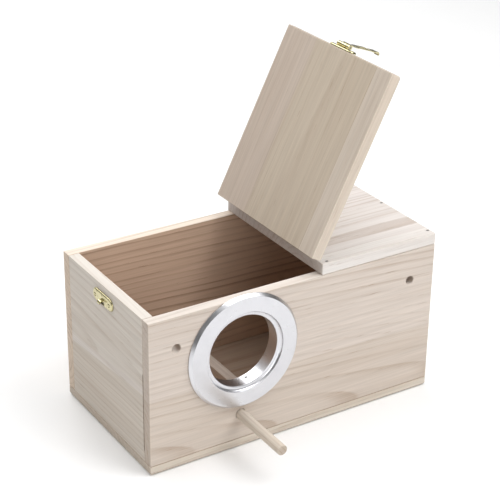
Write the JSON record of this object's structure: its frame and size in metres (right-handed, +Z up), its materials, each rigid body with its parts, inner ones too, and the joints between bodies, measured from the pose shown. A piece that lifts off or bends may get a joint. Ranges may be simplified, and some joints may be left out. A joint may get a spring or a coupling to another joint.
{
  "type": "birdhouse",
  "caption": "Wooden nest box for small parrots: a board case with a hinged lid, metal-lined round entry, dowel perch, nest threshold and brass hasp.",
  "frame": {"origin": "centre of the floor board's underside", "axes": "+X towards the end under the fixed top, -Y towards the entry ring and perch, +Z up; at rest the lid stands open"},
  "size_m": [0.3059, 0.228, 0.3294],
  "materials": {
    "case_board": "matte",
    "top_board": "matte",
    "perch_wood": "matte",
    "ring_aluminium": "satin",
    "brass_fittings": "polished",
    "steel_wire": "satin"
  },
  "bodies": {
    "box": {"floor_board": "case_board", "front_board": "case_board", "back_board": "case_board", "left_end_board": "case_board", "right_end_board": "case_board", "nest_threshold": "case_board", "fixed_top_board": "top_board", "entry_ring": "ring_aluminium", "ring_nail_1": "steel_wire", "ring_nail_2": "steel_wire", "ring_nail_3": "steel_wire", "perch_dowel": "perch_wood", "front_hinge_top_leaf": "brass_fittings", "front_hinge_pin": "steel_wire", "front_hinge_top_nail_1": "brass_fittings", "front_hinge_top_nail_2": "brass_fittings", "back_hinge_top_leaf": "brass_fittings", "back_hinge_pin": "steel_wire", "back_hinge_top_nail_1": "brass_fittings", "back_hinge_top_nail_2": "brass_fittings", "catch_plate": "brass_fittings", "catch_nail_1": "brass_fittings", "catch_nail_2": "brass_fittings", "top_nail_1": "steel_wire", "top_nail_2": "steel_wire", "top_nail_3": "steel_wire", "top_nail_4": "steel_wire", "top_nail_5": "steel_wire", "floor_nail_1": "steel_wire", "floor_nail_2": "steel_wire", "floor_nail_3": "steel_wire", "floor_nail_4": "steel_wire", "floor_nail_5": "steel_wire", "floor_nail_6": "steel_wire"},
    "lid": {"lid_board": "top_board", "front_hinge_lid_leaf": "brass_fittings", "front_hinge_lid_nail_1": "brass_fittings", "front_hinge_lid_nail_2": "brass_fittings", "back_hinge_lid_leaf": "brass_fittings", "back_hinge_lid_nail_1": "brass_fittings", "back_hinge_lid_nail_2": "brass_fittings", "latch_plate": "brass_fittings", "latch_pin": "steel_wire", "latch_nail_1": "brass_fittings", "latch_nail_2": "brass_fittings"},
    "hasp": {"latch_hasp": "brass_fittings"}
  },
  "joints": [
    {"name": "lid_hinge", "type": "hinge", "parent": "box", "child": "lid", "pos_m": [0.024, 0, 0.164], "axis": [0, 1, 0], "range_deg": [-116.3, 62]},
    {"name": "hasp_swing", "type": "hinge", "parent": "lid", "child": "hasp", "pos_m": [0.09587, 0, 0.32726], "axis": [0, 1, 0], "range_deg": [-174, 0]}
  ]
}
